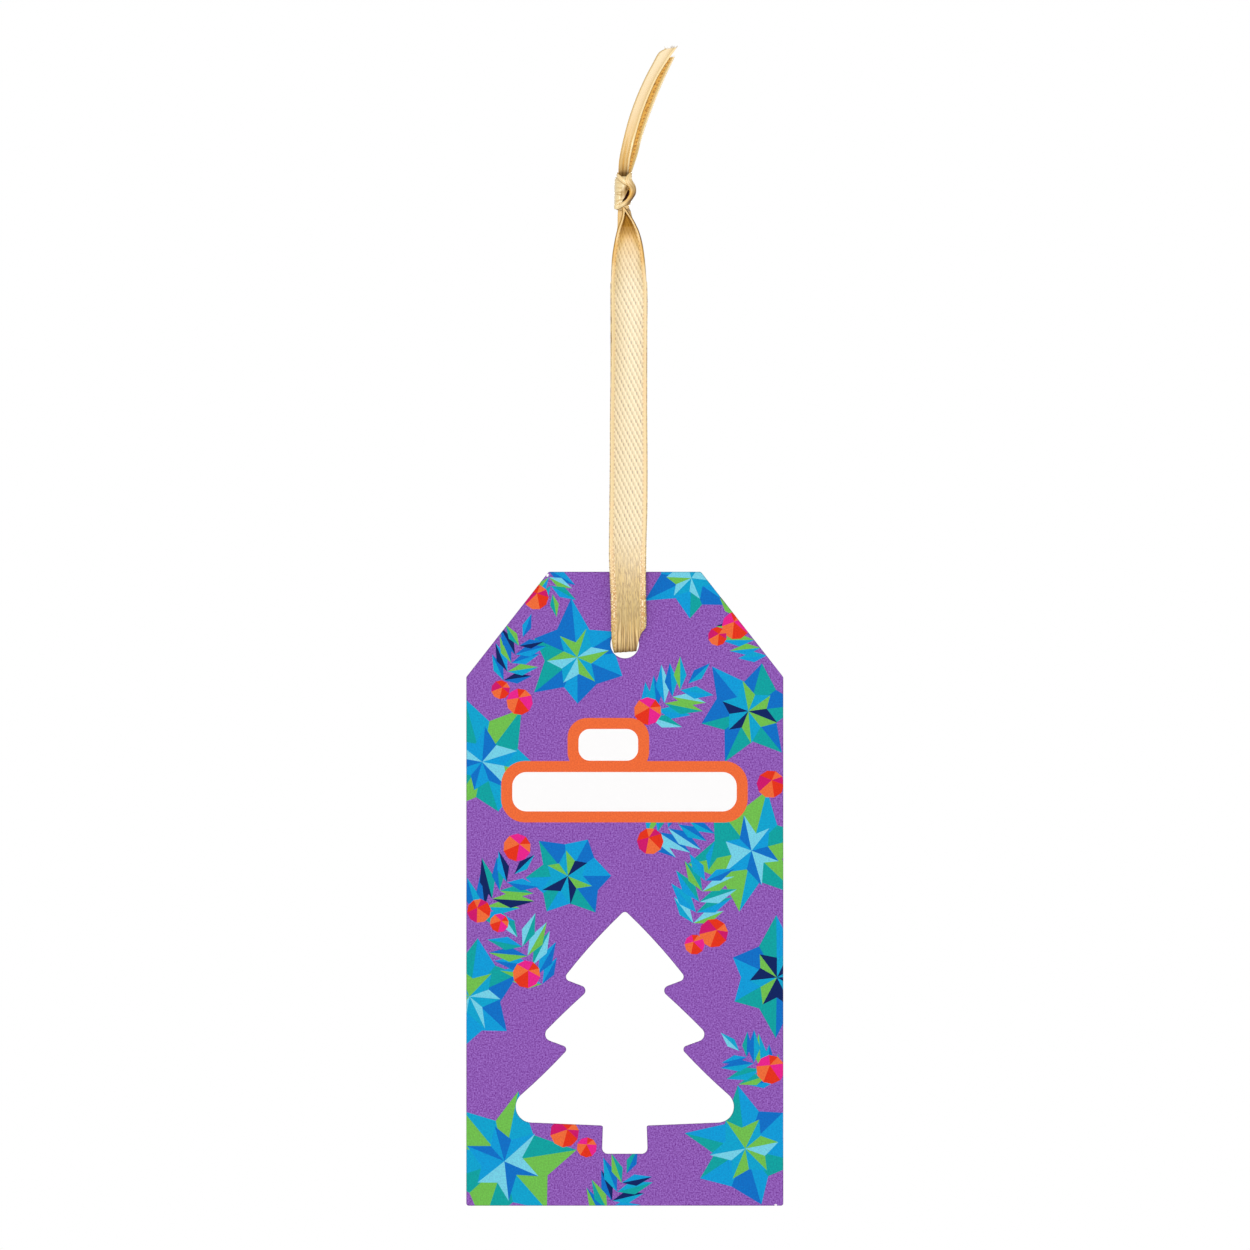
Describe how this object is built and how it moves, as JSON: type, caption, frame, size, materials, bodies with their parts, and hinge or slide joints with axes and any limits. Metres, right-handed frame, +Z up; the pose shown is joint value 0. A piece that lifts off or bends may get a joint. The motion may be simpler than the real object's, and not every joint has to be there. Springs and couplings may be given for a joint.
{
  "type": "gift tag",
  "caption": "Flat die-cut card tag with sloped shoulders and a tree-shaped window, hanging from a knotted loop of narrow satin ribbon.",
  "frame": {"origin": "top of the ribbon loop, just under the knot, where a hook or branch carries the tag", "axes": "+Z up along the hanging ribbon, printed face towards -Y, +X to the right seen from the front and along the peg in the loop"},
  "size_m": [0.05, 0.0054, 0.1822],
  "materials": {
    "printed_card": "matt print on white board",
    "satin_ribbon": "satin weave with stitched edges"
  },
  "bodies": {
    "ribbon_hanger": {"ribbon_knot": "satin_ribbon", "ribbon_front_tail": "satin_ribbon", "ribbon_back_tail": "satin_ribbon", "ribbon_front_leg": "satin_ribbon", "ribbon_back_leg": "satin_ribbon", "ribbon_flex_zone": "satin_ribbon"},
    "ribbon_fold": {"ribbon_bight": "satin_ribbon"},
    "tag": {"tag_card": "printed_card"}
  },
  "joints": [
    {"name": "ribbon_flap", "type": "hinge", "parent": "ribbon_hanger", "child": "ribbon_fold", "pos_m": [0, 0, -0.0527], "axis": [1, 0, 0], "range_deg": [-75, 75], "deforming": ["ribbon_flex_zone"]},
    {"name": "card_swing", "type": "hinge", "parent": "ribbon_fold", "child": "tag", "pos_m": [0, 0, -0.0681], "axis": [0, 1, 0], "range_deg": [-30, 30]}
  ]
}
